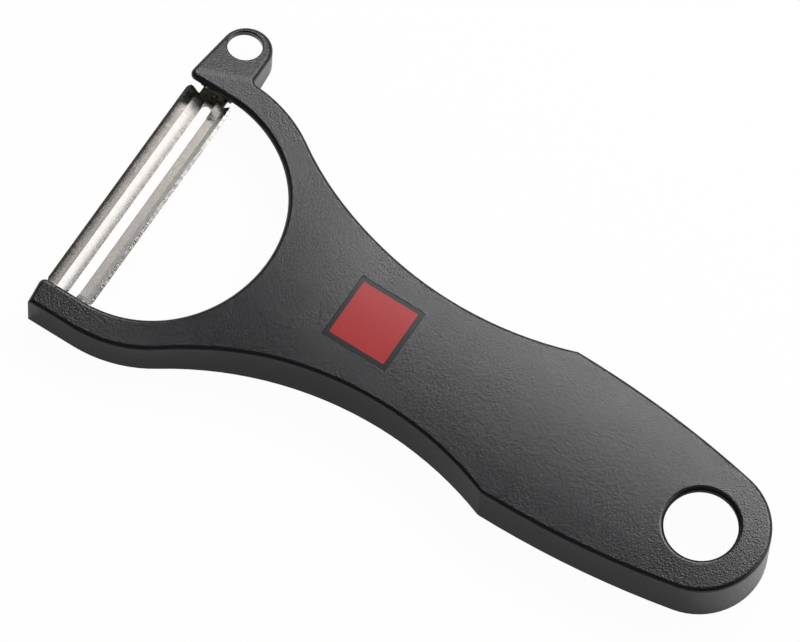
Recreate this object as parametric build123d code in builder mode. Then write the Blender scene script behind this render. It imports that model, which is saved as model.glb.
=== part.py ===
"""Vegetable peeler with a swivelling two-edged blade in a moulded fork handle.

Millimetres. The origin is on the hang hole's axis, half way through its plate.
+Y runs along the handle to the blade, +X to the side that carries the eye remover, +Z out of the face.
"""
from build123d import *
from math import acos, atan2, cos, pi, radians, sin, sqrt, tan
import os

# Driving dimensions. Heights are taken from the plane that the peeler lies on, and a setback or a reach is
# counted along Y from the blade's axis, back to the hang hole or on to the front.

# Handle in plan
end_radius = 12.5
hang_hole_radius = 6.6
side_radius = 182.6
shoulder_half = 16.08
shoulder_y = 35.6
waist_half = 11.83
waist_y = 59.0

# Opening for the blade, and the arms on both sides of it
blade_y = 117.5
opening_radius = 23.5
opening_x = 0.2
opening_setback = 3.3
arm_width = 5.2
arm_centre_x = 2.5
arm_centre_setback = 4.8
arm_front_reach = 5.3
arm_corner_cut = 0.6
arm_tip_radius = 1.2

# Face of the moulding
face_crest = 11.5
face_drop = 2.65
drop_start_setback = 41.5
drop_end_setback = 6.5
handle_crown_radius = 165.0
arm_crown_radius = 900.0
face_pitch = 8.0
rim_radius = 0.8

# Walls and ribs behind the face
skirt = 1.8
handle_plate = 1.55
arm_plate = 1.2
rib = 1.4
rib_recess = 1.0
rib_start_y = 11.0
rib_pitch = 12.2
rib_end_gap = 5.9

# Eye remover
tab_radius = 4.7
tab_reach = 5.62
tab_setback = 0.19
tab_back_setback = 5.3
tab_slope = 14.8
tab_fold_inset = 3.3
tab_plate = 1.6
tab_skirt = 1.0
tab_skirt_setback = 2.4
tab_hole_radius = 3.2
tab_hole_aside = 0.3
tab_hole_ahead = 0.53
tab_rim_radius = 0.2
tab_root_radius = 1.0
fold_radius = 6.0

# Badge
badge_side = 13.2
badge_x = 0.3
badge_y = 68.3
badge_depth = 0.45
badge_sink = 0.1
badge_clearance = 0.05

# Blade strip
sheet = 0.6
blade_gap = 0.35
blade_floor = 2.9
slot_half = 0.95
slot_margin = 0.95
bend_half = 2.9
flange_reach = 4.1
inner_slope = 29.4
outer_slope = 56.5
end_lean = 0.18
edge_land = 0.1
bevel_margin = 1.6
bevel_shift = 0.5
shoulder_radius = 1.2
neck_half = 2.55

# Pivots
pivot_height = 4.5
swing = 25.0
pin_radius = 0.75
pin_clearance = 0.07
pin_show = 0.4
pin_cover = 0.8
lug_setback = 0.7
lug_half = 2.1
lug_play = 0.3
lug_clearance = 0.2
boss_half = 2.9
boss_low = 2.6
stop_clearance = 0.1

overrun = 3.0

# Derived sizes
origin_height = face_crest - handle_plate + (handle_plate - rim_radius) / 2
opening_y = blade_y - opening_setback
arm_half = opening_radius + arm_width
arm_radius = arm_half - arm_centre_x
arm_centre_y = blade_y - arm_centre_setback
arm_front_y = blade_y + arm_front_reach
arm_corner_y = arm_front_y - arm_corner_cut
drop_start_y = blade_y - drop_start_setback
drop_end_y = blade_y - drop_end_setback
rib_end_y = opening_y - opening_radius - rib_end_gap
tab_x = arm_half + tab_reach
tab_y = blade_y - tab_setback
tab_back_y = blade_y - tab_back_setback
tab_hole = Vector(tab_x + tab_hole_aside, tab_y + tab_hole_ahead)
block_half = tab_x + tab_radius + overrun
block_top = face_crest + overrun
waist_radius = (
    ((waist_half - arm_half + arm_radius) ** 2 + (arm_centre_y - waist_y) ** 2 - arm_radius**2)
    / (2 * (arm_half - waist_half))
)
blade_half = opening_radius - blade_gap
slot_reach = blade_half - slot_margin
lug_inner = opening_radius + lug_setback
lug_outer = lug_inner + sheet
boss_face = lug_outer + lug_play
pin_reach = lug_inner - pin_show
pin_end = arm_half - pin_cover
top_side_height = blade_floor + sheet + (neck_half - slot_half) * tan(radians(inner_slope))


def level(height):
    """Z of a height above the plane that the peeler lies on."""
    return height - origin_height


def towards(start, end, distance):
    """Point at a distance from start on the way to end."""
    return start + (end - start).normalized() * distance


def arc_about(centre, start, end):
    """Arc from start to end about a centre, the short way round."""
    middle = (start + end) / 2
    return ThreePointArc(start, towards(centre, middle, (start - centre).length), end)


def circles_meet(centre_a, radius_a, centre_b, radius_b):
    """Crossing of two circles that lies left of the way from a to b."""
    gap = (centre_b - centre_a).length
    along = (gap**2 + radius_a**2 - radius_b**2) / (2 * gap)
    aside = sqrt(radius_a**2 - along**2)
    way = (centre_b - centre_a).normalized()
    return centre_a + way * along + Vector(-way.Y, way.X) * aside


def tangent_point(point, centre, radius, side):
    """Where a line from point touches a circle; side is +1 or -1."""
    away = point - centre
    angle = atan2(away.Y, away.X) + side * acos(radius / away.length)
    return centre + Vector(cos(angle), sin(angle)) * radius


def drop_share(y):
    """Share of the face's drop that is reached at y, easing in and out."""
    share = min(max((y - drop_start_y) / (drop_end_y - drop_start_y), 0), 1)
    return share * share * (3 - 2 * share)


def crown_rise(radius):
    """Height of a crown of this radius over the whole block's half width."""
    return radius - sqrt(radius**2 - block_half**2)


def crest_height(y, handle_depth=0, arm_depth=0):
    """Height of the crowned face at x = 0, or of a surface at a depth under it."""
    share = drop_share(y)
    depth = handle_depth + (arm_depth - handle_depth) * share
    return face_crest - face_drop * share - depth


def space_above(handle_depth=0, arm_depth=0):
    """Solid above the crowned face, or above the same surface at a depth under it."""
    low_y = -end_radius - overrun
    space_top = level(block_top + overrun)
    count = round((arm_front_y + overrun - low_y) / face_pitch)
    step = (arm_front_y + overrun - low_y) / count
    with BuildPart() as space:
        for index in range(count + 1):
            y = low_y + index * step
            share = drop_share(y)
            crest = level(crest_height(y, handle_depth, arm_depth))
            rise_handle = crown_rise(handle_crown_radius)
            rise = rise_handle + (crown_rise(arm_crown_radius) - rise_handle) * share
            with BuildSketch(Plane.XZ.offset(-y)):
                with BuildLine():
                    left = Vector(-block_half, crest - rise)
                    right = Vector(block_half, crest - rise)
                    ThreePointArc(left, (0, crest), right)
                    Polyline(right, (block_half, space_top), (-block_half, space_top), left)
                make_face()
        loft()
    return space.part


def half_outline():
    """One side of the plan from the handle's end to the front of the arm."""
    hang = Vector(0, 0)
    shoulder = Vector(shoulder_half, shoulder_y)
    waist = Vector(waist_half, waist_y)
    side_centre = circles_meet(hang, side_radius - end_radius, shoulder, side_radius)
    waist_centre = Vector(waist_half + waist_radius, waist_y)
    arm_centre = Vector(arm_half - arm_radius, arm_centre_y)
    leave_end = towards(side_centre, hang, side_radius)
    joint = towards(waist_centre, arm_centre, waist_radius)
    low_radius = ((shoulder - waist).length ** 2) / (2 * (shoulder_half - waist_half))
    low_centre = Vector(waist_half + low_radius, waist_y)
    arc_about(hang, Vector(0, -end_radius), leave_end)
    arc_about(side_centre, leave_end, shoulder)
    arc_about(low_centre, shoulder, waist)
    arc_about(waist_centre, waist, joint)
    arc_about(arm_centre, joint, Vector(arm_half, arm_centre_y))
    Polyline(
        (arm_half, arm_centre_y),
        (arm_half, arm_corner_y),
        (opening_radius - arm_tip_radius, arm_front_y),
        (0, arm_front_y),
    )


def plan():
    """Whole plan of the handle and fork, without the eye remover."""
    with BuildSketch(Plane.XY.offset(level(0))) as sketch:
        with BuildLine():
            half_outline()
            mirror(about=Plane.YZ)
        make_face()
    return sketch.sketch


def tab_plan(inset=0):
    """Plan of the eye remover, from the arm's front corner round its end and back into the arm."""
    centre = Vector(tab_x, tab_y)
    front = Vector(opening_x + opening_radius, arm_front_y)
    back = Vector(arm_half, tab_back_y)
    front_touch = tangent_point(front, centre, tab_radius, -1)
    back_touch = tangent_point(back, centre, tab_radius, 1)
    root = towards(back, back_touch, -skirt)
    with BuildSketch(Plane.XY.offset(level(0))) as sketch:
        with BuildLine():
            Line(front, front_touch)
            ThreePointArc(front_touch, centre + Vector(tab_radius, 0), back_touch)
            Polyline(back_touch, root, (front.X, root.Y), front)
        make_face()
        if inset:
            offset(amount=-inset)
    return sketch.sketch


def rib_sketch(height):
    """Plan of the ribs behind the handle: one along it and a row across it."""
    count = int((rib_end_y - rib_start_y) / rib_pitch) + 1
    with BuildSketch(Plane.XY.offset(level(height))) as sketch:
        with Locations((0, (rib_start_y + rib_end_y) / 2)):
            Rectangle(rib, rib_end_y - rib_start_y)
        for index in range(count):
            with Locations((0, rib_start_y + index * rib_pitch)):
                Rectangle(2 * arm_half, rib)
    return sketch.sketch


def badge_prism(side):
    """Square prism that stands on the badge's seat."""
    with BuildPart() as prism:
        with BuildSketch(Plane.XY.offset(level(face_crest - badge_depth))):
            with Locations((badge_x, badge_y)):
                Rectangle(side, side)
        extrude(amount=badge_depth + overrun)
    return prism.part


# Surfaces that cut the moulding's face and the underside of its plate
above_face = space_above()
above_ceiling = space_above(handle_plate, arm_plate)
above_core = space_above(handle_plate / 2, arm_plate / 2)
above_badge = space_above(badge_sink, badge_sink)



def face_like(faces, normal):
    """Largest face whose middle looks along a normal."""
    alike = faces.filter_by(lambda f: f.normal_at(f.center()).dot(normal) > cos(slope / 4))
    return alike.sort_by(SortBy.AREA)[-1]


def face_patch(faces):
    """The face, its sloping end on the eye remover and the soft fold between them."""
    folded = face_like(faces, tilt)
    flat = face_like(faces, Vector(0, 0, 1))
    between = [face for face in faces if face.geom_type == GeomType.BSPLINE and face != flat]
    return [flat, folded, *between]


# Half space above the sloping face of the eye remover, hinged on a line across the arm
fold_front = Vector(arm_half - tab_fold_inset, arm_corner_y)
root_share = 1 - sqrt(1 / 2)
fold_back = Vector(arm_half, tab_back_y) + Vector(1, -1) * tab_root_radius * root_share
fold_middle = (fold_front + fold_back) / 2
fold_crown = arm_crown_radius - sqrt(arm_crown_radius**2 - fold_middle.X**2)
fold_height = crest_height(tab_y) - fold_crown
fold_way = (fold_front - fold_back).normalized()
fold_normal = Vector(-fold_way.Y, fold_way.X) * -1
slope = radians(tab_slope)
tilt = fold_normal * sin(slope) + Vector(0, 0, cos(slope))


def space_above_tab(depth=0):
    """Solid above the eye remover's sloping face, or above a plane at a depth under it."""
    origin = Vector(fold_middle.X, fold_middle.Y, level(fold_height - depth))
    fold_plane = Plane(origin=origin, x_dir=fold_way, z_dir=tilt)
    reach = 2 * block_half
    with BuildPart() as space:
        with BuildSketch(fold_plane):
            Rectangle(reach, reach)
        extrude(amount=block_half)
    return space.part


# Hollow behind the face, open at the arms' front, with the ribs left standing in it
with BuildPart() as hollow:
    with BuildSketch(Plane.XY.offset(level(0))) as inner_plan:
        add(plan())
        offset(amount=-skirt)
        with Locations((0, arm_front_y)):
            Rectangle(2 * (arm_half - skirt), 4 * skirt)
    extrude(amount=rib_recess)
    with BuildSketch(Plane.XY.offset(level(rib_recess))):
        add(inner_plan.sketch.moved(Location((0, 0, rib_recess))))
        add(rib_sketch(rib_recess), mode=Mode.SUBTRACT)
    extrude(amount=block_top)
    add(above_ceiling, mode=Mode.SUBTRACT)


def pin_block(side):
    """Block that holds a pin in one arm, with two stops that limit the blade's swing."""
    swung = radians(swing)
    corner = Vector(neck_half, top_side_height - pivot_height)
    stop_height = pivot_height + corner.X * sin(swung) + corner.Y * cos(swung) + stop_clearance
    with BuildPart() as block:
        with BuildSketch(Plane.YZ.offset(side * boss_face)):
            with Locations((blade_y, level((boss_low + block_top) / 2))):
                Rectangle(2 * boss_half, block_top - boss_low)
        extrude(amount=side * (arm_half - skirt / 2 - boss_face))
        with BuildSketch(Plane.YZ.offset(side * lug_inner)):
            with Locations((blade_y, level((stop_height + block_top) / 2))):
                Rectangle(2 * boss_half, block_top - stop_height)
                Rectangle(2 * (lug_half + lug_clearance), block_top - stop_height, mode=Mode.SUBTRACT)
        extrude(amount=side * (arm_half - skirt / 2 - lug_inner))
        add(above_core, mode=Mode.SUBTRACT)
    return block.part


# Hollow under the eye remover: its skirt runs along the back and round the end, and the front is open
with BuildPart() as tab_hollow:
    with BuildSketch(Plane.XY.offset(level(0))):
        add(tab_plan(tab_skirt))
        with Locations((arm_half + block_half / 2, tab_y - tab_skirt_setback + block_half / 2)):
            Rectangle(block_half, block_half)
        with Locations((arm_half - block_half / 2, tab_y)):
            Rectangle(block_half, 2 * block_half, mode=Mode.SUBTRACT)
    extrude(amount=block_top)
    add(space_above_tab(tab_plate), mode=Mode.SUBTRACT)
    add(above_ceiling, mode=Mode.SUBTRACT)

# Moulding: handle, head, fork arms and eye remover in one shell that is open at the back
with BuildPart() as body:
    with BuildSketch(Plane.XY.offset(level(0))) as body_plan:
        add(plan())
        with Locations((opening_x, opening_y)):
            Circle(opening_radius, mode=Mode.SUBTRACT)
        with Locations((opening_x, opening_y + block_half / 2)):
            Rectangle(2 * opening_radius, block_half, mode=Mode.SUBTRACT)
        add(tab_plan())
        tips = [Vector(opening_x + side * opening_radius, arm_front_y) for side in (-1, 1)]
        fillet([body_plan.vertices().sort_by_distance(tip)[0] for tip in tips], radius=arm_tip_radius)
        fillet(body_plan.vertices().sort_by_distance(Vector(arm_half, tab_back_y))[0], radius=tab_root_radius)
        Circle(hang_hole_radius, mode=Mode.SUBTRACT)
        with Locations(tab_hole):
            Circle(tab_hole_radius, mode=Mode.SUBTRACT)
    extrude(amount=block_top)
    add(above_face, mode=Mode.SUBTRACT)
    add(space_above_tab(), mode=Mode.SUBTRACT)
    folded = face_like(body.faces(), tilt)
    flat = face_like(body.faces(), Vector(0, 0, 1))
    fillet([edge for edge in folded.edges() if edge in flat.edges()], radius=fold_radius)
    upper_edges = [edge for face in face_patch(body.faces()) for edge in face.edges()]
    rims = ShapeList([edge for edge in upper_edges if upper_edges.count(edge) == 1])
    hole_rims = rims.sort_by_distance(Vector(tab_hole.X, tab_hole.Y, level(fold_height)))
    hole_rim = hole_rims.filter_by(lambda e: e.is_closed)[0]
    fillet([edge for edge in rims if edge != hole_rim], radius=rim_radius)
    closed_rims = body.edges().filter_by(lambda e: e.is_closed).filter_by(GeomType.ELLIPSE)
    fillet(closed_rims.sort_by(Axis.Z)[-1], radius=tab_rim_radius)
    add(hollow.part, mode=Mode.SUBTRACT)
    add(tab_hollow.part, mode=Mode.SUBTRACT)
    for side in (-1, 1):
        add(pin_block(side))
        with BuildSketch(Plane.YZ.offset(side * boss_face)):
            with Locations((blade_y, level(pivot_height))):
                Circle(pin_radius)
        extrude(amount=side * (pin_end - boss_face), mode=Mode.SUBTRACT)
    add(badge_prism(badge_side + 2 * badge_clearance), mode=Mode.SUBTRACT)

# Badge: plain square plate let into the face, with its top a little under the face and of the same crown
with BuildPart() as badge:
    add(badge_prism(badge_side))
    add(above_badge, mode=Mode.SUBTRACT)

# Pivot pins: two dowels with domed ends, pressed into the arms from inside
with BuildPart() as pivot_pins:
    with BuildSketch(Plane.XY.offset(level(pivot_height))):
        with BuildLine():
            dome = pin_reach + pin_radius
            Line((pin_reach, blade_y), (pin_end, blade_y))
            Line((pin_end, blade_y), (pin_end, blade_y + pin_radius))
            Line((pin_end, blade_y + pin_radius), (dome, blade_y + pin_radius))
            ThreePointArc(
                (dome, blade_y + pin_radius),
                (dome - pin_radius * cos(pi / 4), blade_y + pin_radius * sin(pi / 4)),
                (pin_reach, blade_y),
            )
        make_face()
    revolve(axis=Axis((0, blade_y, level(pivot_height)), (1, 0, 0)))
    mirror(about=Plane.YZ)

# Corners of half the strip's section, from its middle to its outer edge: top line, then underside
inner, outer = radians(inner_slope), radians(outer_slope)
top_middle = Vector(0, blade_floor + sheet)
top_knee = Vector(slot_half, blade_floor + sheet)
top_bend = top_knee + Vector(1, tan(inner)) * (bend_half - slot_half)
top_edge = top_bend + Vector(1, tan(outer)) * (flange_reach - bend_half)


def under(point, before, after):
    """Corner of the underside that lies a sheet's thickness under a corner of the top line."""
    turn = (after - before) / 2
    middle = (after + before) / 2
    return point + Vector(sin(middle), -cos(middle)) * (sheet / cos(turn))


low_middle = top_middle - Vector(0, sheet)
low_knee = under(top_knee, 0, inner)
low_bend = under(top_bend, inner, outer)
low_edge = under(top_edge, outer, outer) + Vector(cos(outer), sin(outer)) * end_lean


def strip_point(point, side=1):
    """Place of a section corner on the blade's section plane."""
    return Vector(blade_y + side * point.X, level(point.Y))


# Blade: bent strip with a slot between two ground edges, and a lug with a pivot hole at each end
with BuildPart() as blade:
    with BuildSketch(Plane.YZ):
        for side in (-1, 1):
            with BuildLine():
                corners = [top_middle, top_knee, top_bend, top_edge, low_edge, low_bend, low_knee, low_middle]
                Polyline([strip_point(corner, side) for corner in corners], close=True)
            make_face()
    extrude(amount=lug_outer, both=True)
    with BuildSketch(Plane.XY.offset(level(0))) as strip_plan:
        with Locations((0, blade_y)):
            Rectangle(2 * blade_half, 2 * low_edge.X)
        fillet(strip_plan.vertices(), radius=shoulder_radius)
        with Locations((0, blade_y)):
            Rectangle(2 * lug_outer, 2 * neck_half)
            SlotOverall(2 * slot_reach, 2 * slot_half, mode=Mode.SUBTRACT)
    extrude(amount=block_top, mode=Mode.INTERSECT)
    for side in (-1, 1):
        with BuildSketch(Plane.YZ.offset(side * lug_inner)):
            with Locations((blade_y, level(pivot_height))):
                Circle(lug_half)
            with Locations((blade_y, level((pivot_height + blade_floor) / 2))):
                Rectangle(2 * lug_half, pivot_height - blade_floor)
            with BuildLine():
                reach = Vector(neck_half, blade_floor - overrun)
                low_side = low_knee + Vector(1, tan(inner)) * (neck_half - low_knee.X)
                Polyline(
                    [strip_point(low_side, -1), strip_point(low_knee, -1), strip_point(low_knee),
                     strip_point(low_side), strip_point(reach), strip_point(reach, -1)],
                    close=True,
                )
            make_face(mode=Mode.SUBTRACT)
        extrude(amount=side * sheet)
    with BuildSketch(Plane.YZ):
        with Locations((blade_y, level(pivot_height))):
            Circle(pin_radius + pin_clearance)
    extrude(amount=lug_outer + overrun, both=True, mode=Mode.SUBTRACT)
    for side, reach, shift in ((-1, slot_reach - bevel_margin, -bevel_shift), (1, slot_reach, 0)):
        with BuildSketch(Plane.YZ.offset(shift)):
            with BuildLine():
                edge_top = Vector(slot_half, low_middle.Y + edge_land)
                over = top_bend + Vector(0, overrun)
                corners = [top_bend, edge_top, Vector(slot_half, over.Y), over]
                Polyline([strip_point(corner, side) for corner in corners], close=True)
            make_face()
        extrude(amount=reach, both=True, mode=Mode.SUBTRACT)

os.makedirs("parts", exist_ok=True)
for name, piece in (("body", body), ("badge", badge), ("pivot_pins", pivot_pins), ("swivel_blade", blade)):
    piece.part.label = name
    export_step(piece.part, f"parts/{name}.step")
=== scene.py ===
"""Looks of a fork-shaped vegetable peeler: grained black moulding, red badge, ground steel blade, brass pins.

Lengths are metres in the part's own frame: +Y runs along the handle to the blade, +X to the side with the
eye remover, +Z out of the face. Values whose names end in mm are millimetres.
"""
import logging
import math
from dataclasses import dataclass, field
from typing import Any, Mapping

import bpy
import numpy as np
from mathutils import Matrix, Vector


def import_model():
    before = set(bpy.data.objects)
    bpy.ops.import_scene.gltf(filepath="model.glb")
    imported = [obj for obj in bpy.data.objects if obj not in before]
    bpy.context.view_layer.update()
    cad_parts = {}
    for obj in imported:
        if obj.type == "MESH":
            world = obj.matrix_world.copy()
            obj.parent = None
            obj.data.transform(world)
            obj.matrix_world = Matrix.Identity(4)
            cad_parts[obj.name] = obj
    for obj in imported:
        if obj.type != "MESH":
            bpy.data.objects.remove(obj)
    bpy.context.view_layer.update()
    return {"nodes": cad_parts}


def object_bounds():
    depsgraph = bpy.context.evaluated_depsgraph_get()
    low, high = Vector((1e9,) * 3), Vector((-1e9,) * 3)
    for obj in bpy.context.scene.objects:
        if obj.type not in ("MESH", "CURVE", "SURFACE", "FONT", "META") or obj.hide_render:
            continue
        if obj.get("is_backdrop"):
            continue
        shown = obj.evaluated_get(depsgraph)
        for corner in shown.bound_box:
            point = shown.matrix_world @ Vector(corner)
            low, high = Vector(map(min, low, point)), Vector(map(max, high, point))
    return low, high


log = logging.getLogger("peeler")

MM = 0.001
PLASTIC_IOR = 1.49
USUAL_NOISE = (0.3, 0.7)
UNIT = (0.0, 1.0)
WHITE = (1.0, 1.0, 1.0, 1.0)


def linear(hex_colour: str) -> tuple[float, float, float, float]:
    """Turns an sRGB hex colour into the linear colour that a shader takes.

    Args:
        hex_colour: Six hex digits after a hash sign.

    Returns:
        Linear red, green, blue and an alpha of 1.
    """
    shares = np.array([int(hex_colour[i : i + 2], 16) for i in (1, 3, 5)]) / 255
    low = shares / 12.92
    high = ((shares + 0.055) / 1.055) ** 2.4
    red, green, blue = np.where(shares <= 0.04045, low, high)
    return float(red), float(green), float(blue), 1.0


def add_node(
    tree: bpy.types.NodeTree,
    kind: str,
    inputs: Mapping[Any, Any] | None = None,
    **settings: Any,
) -> bpy.types.Node:
    """Adds a node with its settings, values and links.

    Args:
        tree: The node tree that takes the node.
        kind: Blender's name of the node's type.
        inputs: Input names or numbers, each with a value or the output socket that feeds it.
        **settings: Properties of the node, such as its operation.

    Returns:
        The new node.
    """
    node = tree.nodes.new(kind)
    for name, value in settings.items():
        setattr(node, name, value)
    for name, value in (inputs or {}).items():
        if isinstance(value, bpy.types.NodeSocket):
            tree.links.new(value, node.inputs[name])
        else:
            node.inputs[name].default_value = value
    return node


def compute(tree: bpy.types.NodeTree, operation: str, *values: Any) -> bpy.types.NodeSocket:
    """Adds a maths node over numbers or sockets, and returns its result."""
    node = add_node(tree, "ShaderNodeMath", dict(enumerate(values)), operation=operation)
    return node.outputs[0]


def compute_vector(tree: bpy.types.NodeTree, operation: str, *values: Any) -> bpy.types.Node:
    """Adds a maths node over vectors, and returns the node."""
    return add_node(tree, "ShaderNodeVectorMath", dict(enumerate(values)), operation=operation)


def remap(
    tree: bpy.types.NodeTree,
    value: bpy.types.NodeSocket,
    source: tuple[float, float] = UNIT,
    target: tuple[float, float] = UNIT,
    interpolation: str = "LINEAR",
) -> bpy.types.NodeSocket:
    """Maps a value from one range to another and holds it there.

    Args:
        tree: The node tree that takes the node.
        value: The value to map.
        source: The two ends of the value's range.
        target: What the two ends become.
        interpolation: Blender's name of the way between them.

    Returns:
        The mapped value.
    """
    node = add_node(
        tree,
        "ShaderNodeMapRange",
        {
            "Value": value,
            "From Min": source[0],
            "From Max": source[1],
            "To Min": target[0],
            "To Max": target[1],
        },
        interpolation_type=interpolation,
    )
    return node.outputs[0]


def mix_colours(
    tree: bpy.types.NodeTree, factor: Any, first: Any, second: Any, blend: str = "MIX"
) -> bpy.types.NodeSocket:
    """Mixes two colours.

    Args:
        tree: The node tree that takes the node.
        factor: Share of the second colour.
        first: First colour.
        second: Second colour, or the value that multiplies the first.
        blend: Blender's name of the way of mixing.

    Returns:
        The mixed colour.
    """
    node = add_node(
        tree,
        "ShaderNodeMix",
        {"Factor": factor, "A": first, "B": second},
        data_type="RGBA",
        blend_type=blend,
    )
    return node.outputs["Result"]


def add_noise(
    tree: bpy.types.NodeTree,
    vector: bpy.types.NodeSocket,
    size_mm: float,
    detail: float,
    sharpness: float = 0.5,
) -> bpy.types.NodeSocket:
    """Adds a noise texture whose patches have a real size.

    Args:
        tree: The node tree that takes the node.
        vector: Object coordinates in metres.
        size_mm: Size of the coarsest patches.
        detail: Number of finer layers.
        sharpness: Strength of each finer layer against the one before.

    Returns:
        The noise's value.
    """
    noise = add_node(
        tree,
        "ShaderNodeTexNoise",
        {"Vector": vector, "Scale": 1 / (size_mm * MM), "Detail": detail, "Roughness": sharpness},
    )
    return noise.outputs[0]


def add_bump(
    tree: bpy.types.NodeTree, height: bpy.types.NodeSocket, depth_mm: float, strength: Any = 1.0
) -> bpy.types.NodeSocket:
    """Adds a bump from a height between 0 and 1, and returns the bent normal."""
    bump = add_node(
        tree, "ShaderNodeBump", {"Strength": strength, "Distance": depth_mm * MM, "Height": height}
    )
    return bump.outputs[0]


def blank_material(name: str) -> tuple[bpy.types.Material, bpy.types.NodeTree]:
    """Makes a material with an empty node tree.

    Args:
        name: The material's name.

    Returns:
        The material and its node tree.
    """
    material = bpy.data.materials.new(name)
    material.use_nodes = True
    material.node_tree.nodes.clear()
    return material, material.node_tree


def add_surface(tree: bpy.types.NodeTree, inputs: Mapping[str, Any]) -> None:
    """Adds the surface shader with its inputs, and the material's output."""
    shader = add_node(tree, "ShaderNodeBsdfPrincipled", inputs)
    add_node(tree, "ShaderNodeOutputMaterial", {"Surface": shader.outputs[0]})


@dataclass(frozen=True)
class GrainedMoulding:
    """Black polypropylene, injection moulded.

    The mould's face was spark eroded, which leaves a fine dull grain on the top. The walls were polished, so
    they carry no grain; their darker colour is painted shade on the sides. The grain is about 0.1 mm in life
    and is drawn 0.32 mm wide so that it shows.
    """

    face_hex: str = "#19171b"
    painted_shade_wall_hex: str = "#15141a"
    face_roughness: float = 0.27
    wall_roughness: float = 0.3
    flat: tuple[float, float] = (0.86, 0.985)
    grain_mm: float = 0.32
    grain_detail: float = 2.0
    grain_sharpness: float = 0.6
    grain_height_mm: float = 0.085
    grain_tint: tuple[float, float] = (0.8, 1.25)
    cloud_mm: float = 9.0
    cloud_detail: float = 3.0
    cloud_tint: tuple[float, float] = (0.96, 1.04)

    def build(self) -> bpy.types.Material:
        """Makes the material: one shader whose roughness, colour and bump follow how far the surface faces up; the
        darker wall colour is painted shade.
        """
        material, tree = blank_material("black_polypropylene_moulding")
        place = add_node(tree, "ShaderNodeTexCoord")
        facing = add_node(tree, "ShaderNodeSeparateXYZ", {0: place.outputs["Normal"]})
        face = remap(tree, facing.outputs["Z"], self.flat, interpolation="SMOOTHSTEP")
        spot = place.outputs["Object"]
        grain = add_noise(tree, spot, self.grain_mm, self.grain_detail, self.grain_sharpness)
        cloud = add_noise(tree, spot, self.cloud_mm, self.cloud_detail)
        speck = remap(tree, grain, USUAL_NOISE, self.grain_tint)
        drift = remap(tree, cloud, USUAL_NOISE, self.cloud_tint)
        tint = compute(tree, "MULTIPLY", speck, drift)
        face_colour = mix_colours(tree, 1.0, linear(self.face_hex), tint, "MULTIPLY")
        add_surface(
            tree,
            {
                # Painted shade: the walls, which face sideways, get a darker colour than the top face.
                "Base Color": mix_colours(tree, face, linear(self.painted_shade_wall_hex), face_colour),
                "Roughness": remap(tree, face, target=(self.wall_roughness, self.face_roughness)),
                "IOR": PLASTIC_IOR,
                "Normal": add_bump(tree, grain, self.grain_height_mm, face),
            },
        )
        return material


@dataclass(frozen=True)
class PrintedBadge:
    """Red in-mould label with a dark printed border, smooth under a clear film."""

    centre_mm: tuple[float, float] = (0.4, 68.4)
    red_side_mm: float = 11.4
    corner_mm: float = 0.2
    blur_mm: float = 0.06
    red_hex: str = "#9f2326"
    border_hex: str = "#19181b"
    roughness: float = 0.28
    film_ior: float = 1.4
    grain_mm: float = 0.35
    grain_detail: float = 2.0
    grain_tint: tuple[float, float] = (0.95, 1.05)

    def outside(self, tree: bpy.types.NodeTree, spot: bpy.types.NodeSocket) -> bpy.types.NodeSocket:
        """Draws a square with rounded corners from the distance to its middle.

        Args:
            tree: The node tree that takes the nodes.
            spot: Object coordinates in metres.

        Returns:
            0 on the square and 1 outside it.
        """
        straight = (self.red_side_mm / 2 - self.corner_mm) * MM
        centre = (self.centre_mm[0] * MM, self.centre_mm[1] * MM, 0.0)
        centred = compute_vector(tree, "SUBTRACT", spot, centre).outputs[0]
        apart = compute_vector(tree, "ABSOLUTE", centred).outputs[0]
        beyond = compute_vector(tree, "SUBTRACT", apart, (straight, straight, 1.0)).outputs[0]
        past = compute_vector(tree, "MAXIMUM", beyond, (0.0, 0.0, 0.0)).outputs[0]
        distance = compute_vector(tree, "LENGTH", past).outputs["Value"]
        edge = (self.corner_mm - self.blur_mm) * MM, (self.corner_mm + self.blur_mm) * MM
        return remap(tree, distance, edge)

    def build(self) -> bpy.types.Material:
        """Makes the material: red on the rounded square and dark outside it."""
        material, tree = blank_material("printed_red_label")
        spot = add_node(tree, "ShaderNodeTexCoord").outputs["Object"]
        grain = add_noise(tree, spot, self.grain_mm, self.grain_detail)
        speck = remap(tree, grain, USUAL_NOISE, self.grain_tint)
        border = self.outside(tree, spot)
        printed = mix_colours(tree, border, linear(self.red_hex), linear(self.border_hex))
        add_surface(
            tree,
            {
                "Base Color": mix_colours(tree, 1.0, printed, speck, "MULTIPLY"),
                "Roughness": self.roughness,
                "IOR": self.film_ior,
            },
        )
        return material


@dataclass(frozen=True)
class GroundSteel:
    """Stainless strip, blanked, bent and ground.

    The grindstone ran across the strip, so fine lines cross it and stretch its reflections lengthways.
    """

    hex_colour: str = "#cfccc8"
    roughness: tuple[float, float] = (0.13, 0.26)
    line_mm: float = 0.16
    line_detail: float = 3.0
    line_height_mm: float = 0.0001
    squeeze: float = 0.03

    def build(self) -> bpy.types.Material:
        """Makes the material: noise drawn out across the strip gives the grinding lines, in roughness and bump."""
        material, tree = blank_material("ground_stainless_strip")
        place = add_node(tree, "ShaderNodeTexCoord")
        squeezed = add_node(
            tree,
            "ShaderNodeMapping",
            {"Vector": place.outputs["Object"], "Scale": (1.0, self.squeeze, self.squeeze)},
        )
        lines = add_noise(tree, squeezed.outputs[0], self.line_mm, self.line_detail)
        add_surface(
            tree,
            {
                "Base Color": linear(self.hex_colour),
                "Metallic": 1.0,
                "Roughness": remap(tree, lines, USUAL_NOISE, self.roughness),
                "Normal": add_bump(tree, lines, self.line_height_mm),
            },
        )
        return material


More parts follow.
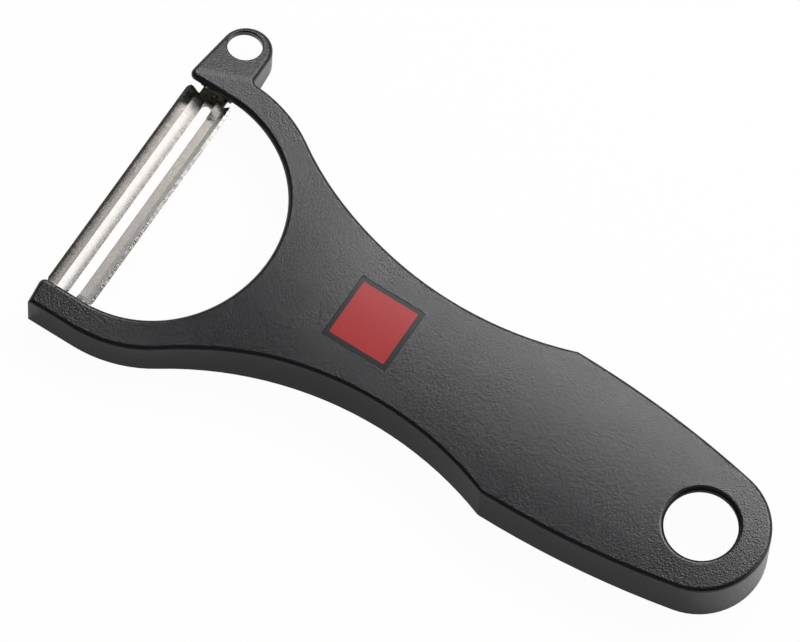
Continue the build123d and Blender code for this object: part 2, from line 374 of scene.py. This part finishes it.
@dataclass(frozen=True)
class DrawnBrass:
    """Brass wire, cut and domed: warm and slightly tarnished."""

    hex_colour: str = "#a08a5a"
    dull_hex: str = "#5f5238"
    roughness: float = 0.3
    tarnish_mm: float = 0.8
    tarnish_detail: float = 4.0
    tarnished: tuple[float, float] = (0.45, 0.75)

    def build(self) -> bpy.types.Material:
        """Makes the material: noise mixes the bright metal with its tarnish."""
        material, tree = blank_material("drawn_brass_wire")
        spot = add_node(tree, "ShaderNodeTexCoord").outputs["Object"]
        patches = add_noise(tree, spot, self.tarnish_mm, self.tarnish_detail)
        dull = remap(tree, patches, self.tarnished)
        add_surface(
            tree,
            {
                "Base Color": mix_colours(tree, dull, linear(self.hex_colour), linear(self.dull_hex)),
                "Metallic": 1.0,
                "Roughness": self.roughness,
            },
        )
        return material


def dress(node: bpy.types.Object, material: bpy.types.Material) -> None:
    """Gives a node one material in its material slots, and logs the node's and the material's names."""
    node.data.materials.clear()
    node.data.materials.append(material)
    log.info("dressed %s with %s", node.name, material.name)


@dataclass
class Handle:
    """The moulding with its badge."""

    moulding: GrainedMoulding = field(default_factory=GrainedMoulding)
    badge: PrintedBadge = field(default_factory=PrintedBadge)

    def build(self, nodes: Mapping[str, bpy.types.Object]) -> None:
        """Dresses the moulding and the badge."""
        dress(nodes["body"], self.moulding.build())
        dress(nodes["badge"], self.badge.build())


@dataclass
class Swivel:
    """The blade and the two pins that it swings on."""

    steel: GroundSteel = field(default_factory=GroundSteel)
    brass: DrawnBrass = field(default_factory=DrawnBrass)

    def build(self, nodes: Mapping[str, bpy.types.Object]) -> None:
        """Dresses the blade and the pins."""
        dress(nodes["swivel_blade"], self.steel.build())
        dress(nodes["pivot_pins"], self.brass.build())


@dataclass(frozen=True)
class Softbox:
    """A soft white lamp that faces the part.

    Its place is given as seen by the camera: turn is the angle round the part from the camera's side, to the
    right, and rise is the angle over the floor, both in degrees.
    """

    name: str
    turn: float
    rise: float
    distance: float
    width: float
    height: float
    radiance: float


@dataclass
class Studio:
    """Floor, lamps and camera.

    The camera's place and lens were fitted to the outline of the handle and the head.
    """

    azimuth: float = -61.43
    elevation: float = 67.05
    roll: float = 4.64
    distance: float = 1.524
    target_mm: tuple[float, float, float] = (7.63, 67.37, -10.325)
    lens: float = 386.3
    sensor: float = 36.0
    shift: tuple[float, float] = (0.0014, -0.0022)
    clip: tuple[float, float] = (0.05, 50.0)
    ambient: float = 0.05
    white: float = 0.97
    floor_mm: float = -10.325
    floor_side: float = 8.0
    floor_hex: str = "#e6e6e6"
    # Painted glow of the floor as seen in reflections: dim near the part's middle, which is painted shade, and
    # full beyond its ends.
    painted_shade_middle_mm: float = 60.0
    painted_shade_reach_mm: tuple[float, float] = (65.0, 120.0)
    painted_glow_level: tuple[float, float] = (0.2, 1.0)
    lamps: tuple[Softbox, ...] = (
        Softbox("far_softbox", 147.0, 50.0, 0.5, 0.6, 0.22, 8.3),
        Softbox("left_panel", 222.0, 8.0, 1.2, 1.3, 0.6, 0.7),
        Softbox("right_softbox", 83.0, 23.0, 1.2, 0.8, 0.7, 1.6),
        Softbox("front_fill", -20.0, 35.0, 1.4, 1.0, 0.4, 0.2),
        Softbox("top_panel", 178.0, 67.0, 1.2, 0.42, 0.36, 1.15),
    )

    def direction(self, azimuth: float, rise: float) -> Vector:
        """Unit vector from the part towards a point at an azimuth and a rise, both in degrees."""
        turn, lift = math.radians(azimuth), math.radians(rise)
        return Vector(
            (math.sin(turn) * math.cos(lift), -math.cos(turn) * math.cos(lift), math.sin(lift))
        )

    def place_camera(self) -> None:
        """Puts the camera on its line to the target and turns it by the roll."""
        camera = bpy.data.cameras.new("camera")
        camera.lens = self.lens
        camera.sensor_width = self.sensor
        camera.shift_x, camera.shift_y = self.shift
        camera.clip_start, camera.clip_end = self.clip
        obj = bpy.data.objects.new("camera", camera)
        back = self.direction(self.azimuth, self.elevation)
        target = Vector(self.target_mm) * MM
        turned = back.to_track_quat("Z", "Y").to_matrix()
        rolled = turned @ Matrix.Rotation(math.radians(self.roll), 3, "Z")
        obj.matrix_world = Matrix.Translation(target + back * self.distance) @ rolled.to_4x4()
        bpy.context.scene.collection.objects.link(obj)
        bpy.context.scene.camera = obj

    def place_lamp(self, lamp: Softbox, centre: Vector) -> None:
        """Hangs a lamp round the part's centre and turns it to face the part."""
        light = bpy.data.lights.new(lamp.name, "AREA")
        light.shape = "RECTANGLE"
        light.size, light.size_y = lamp.width, lamp.height
        light.energy = lamp.radiance * math.pi * lamp.width * lamp.height
        obj = bpy.data.objects.new(lamp.name, light)
        back = self.direction(self.azimuth + lamp.turn, lamp.rise)
        obj.location = centre + back * lamp.distance
        obj.rotation_euler = back.to_track_quat("Z", "Y").to_euler()
        bpy.context.scene.collection.objects.link(obj)

    def painted_reflection_glow(self, tree: bpy.types.NodeTree) -> bpy.types.NodeSocket:
        """Sets how bright the floor is in reflections: a painted glow, dimmer near the part's middle as painted
        shade and brighter beyond the part's two ends.
        """
        place = add_node(tree, "ShaderNodeTexCoord")
        along = add_node(tree, "ShaderNodeSeparateXYZ", {0: place.outputs["Object"]})
        offset = compute(tree, "SUBTRACT", along.outputs["Y"], self.painted_shade_middle_mm * MM)
        beside = compute(tree, "ABSOLUTE", offset)
        near, far = self.painted_shade_reach_mm
        return remap(tree, beside, (near * MM, far * MM), self.painted_glow_level)

    def paper(self) -> bpy.types.Material:
        """Makes the floor's material: white to the camera, matt to the light, and in reflections a painted glow
        that is dimmer near the part.
        """
        material, tree = blank_material("pale_floor")
        matt = add_node(tree, "ShaderNodeBsdfDiffuse", {"Color": linear(self.floor_hex)})
        glow = add_node(tree, "ShaderNodeEmission", {"Color": WHITE, "Strength": 1.0})
        path = add_node(tree, "ShaderNodeLightPath").outputs
        seen = compute(tree, "MAXIMUM", path["Is Camera Ray"], path["Is Transmission Ray"])
        straight = compute(tree, "MULTIPLY", seen, self.white)
        # Painted reflection: glossy rays see the floor glowing, dimmer near the part as painted shade.
        painted_reflection_glow = compute(tree, "MULTIPLY", path["Is Glossy Ray"], self.painted_reflection_glow(tree))
        share = compute(tree, "MAXIMUM", straight, painted_reflection_glow)
        mixed = add_node(
            tree, "ShaderNodeMixShader", {0: share, 1: matt.outputs[0], 2: glow.outputs[0]}
        )
        add_node(tree, "ShaderNodeOutputMaterial", {"Surface": mixed.outputs[0]})
        return material

    def lay_floor(self) -> None:
        """Lays a pale floor that the camera sees as white, with the part's soft shadow on it."""
        half = self.floor_side / 2
        corners = [(-half, -half), (half, -half), (half, half), (-half, half)]
        mesh = bpy.data.meshes.new("floor")
        mesh.from_pydata([(x, y, self.floor_mm * MM) for x, y in corners], [], [(0, 1, 2, 3)])
        floor = bpy.data.objects.new("floor", mesh)
        bpy.context.scene.collection.objects.link(floor)
        mesh.materials.append(self.paper())
        floor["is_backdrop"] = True

    def light_world(self) -> None:
        """Gives the world a soft grey that fills the shadows, and that the camera sees as white."""
        world = bpy.data.worlds.new("studio")
        bpy.context.scene.world = world
        world.use_nodes = True
        tree = world.node_tree
        tree.nodes.clear()
        path = add_node(tree, "ShaderNodeLightPath").outputs
        strength = remap(tree, path["Is Camera Ray"], target=(self.ambient, self.white))
        glow = add_node(tree, "ShaderNodeBackground", {"Color": WHITE, "Strength": strength})
        add_node(tree, "ShaderNodeOutputWorld", {"Surface": glow.outputs[0]})

    def build(self) -> None:
        """Sets the view transform and builds the floor, the world, the lamps and the camera."""
        bpy.context.scene.view_settings.view_transform = "Standard"
        low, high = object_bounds()
        centre = (low + high) / 2
        self.lay_floor()
        self.light_world()
        for lamp in self.lamps:
            self.place_lamp(lamp, centre)
        self.place_camera()
        log.info("studio is ready")


def main() -> None:
    """Loads the frame, dresses each sub-assembly and sets the studio up."""
    logging.basicConfig(level=logging.INFO, format="%(name)s: %(message)s")
    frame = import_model()
    nodes = frame["nodes"]
    for assembly in (Handle(), Swivel()):
        assembly.build(nodes)
    Studio().build()


if __name__ == "__main__":
    main()
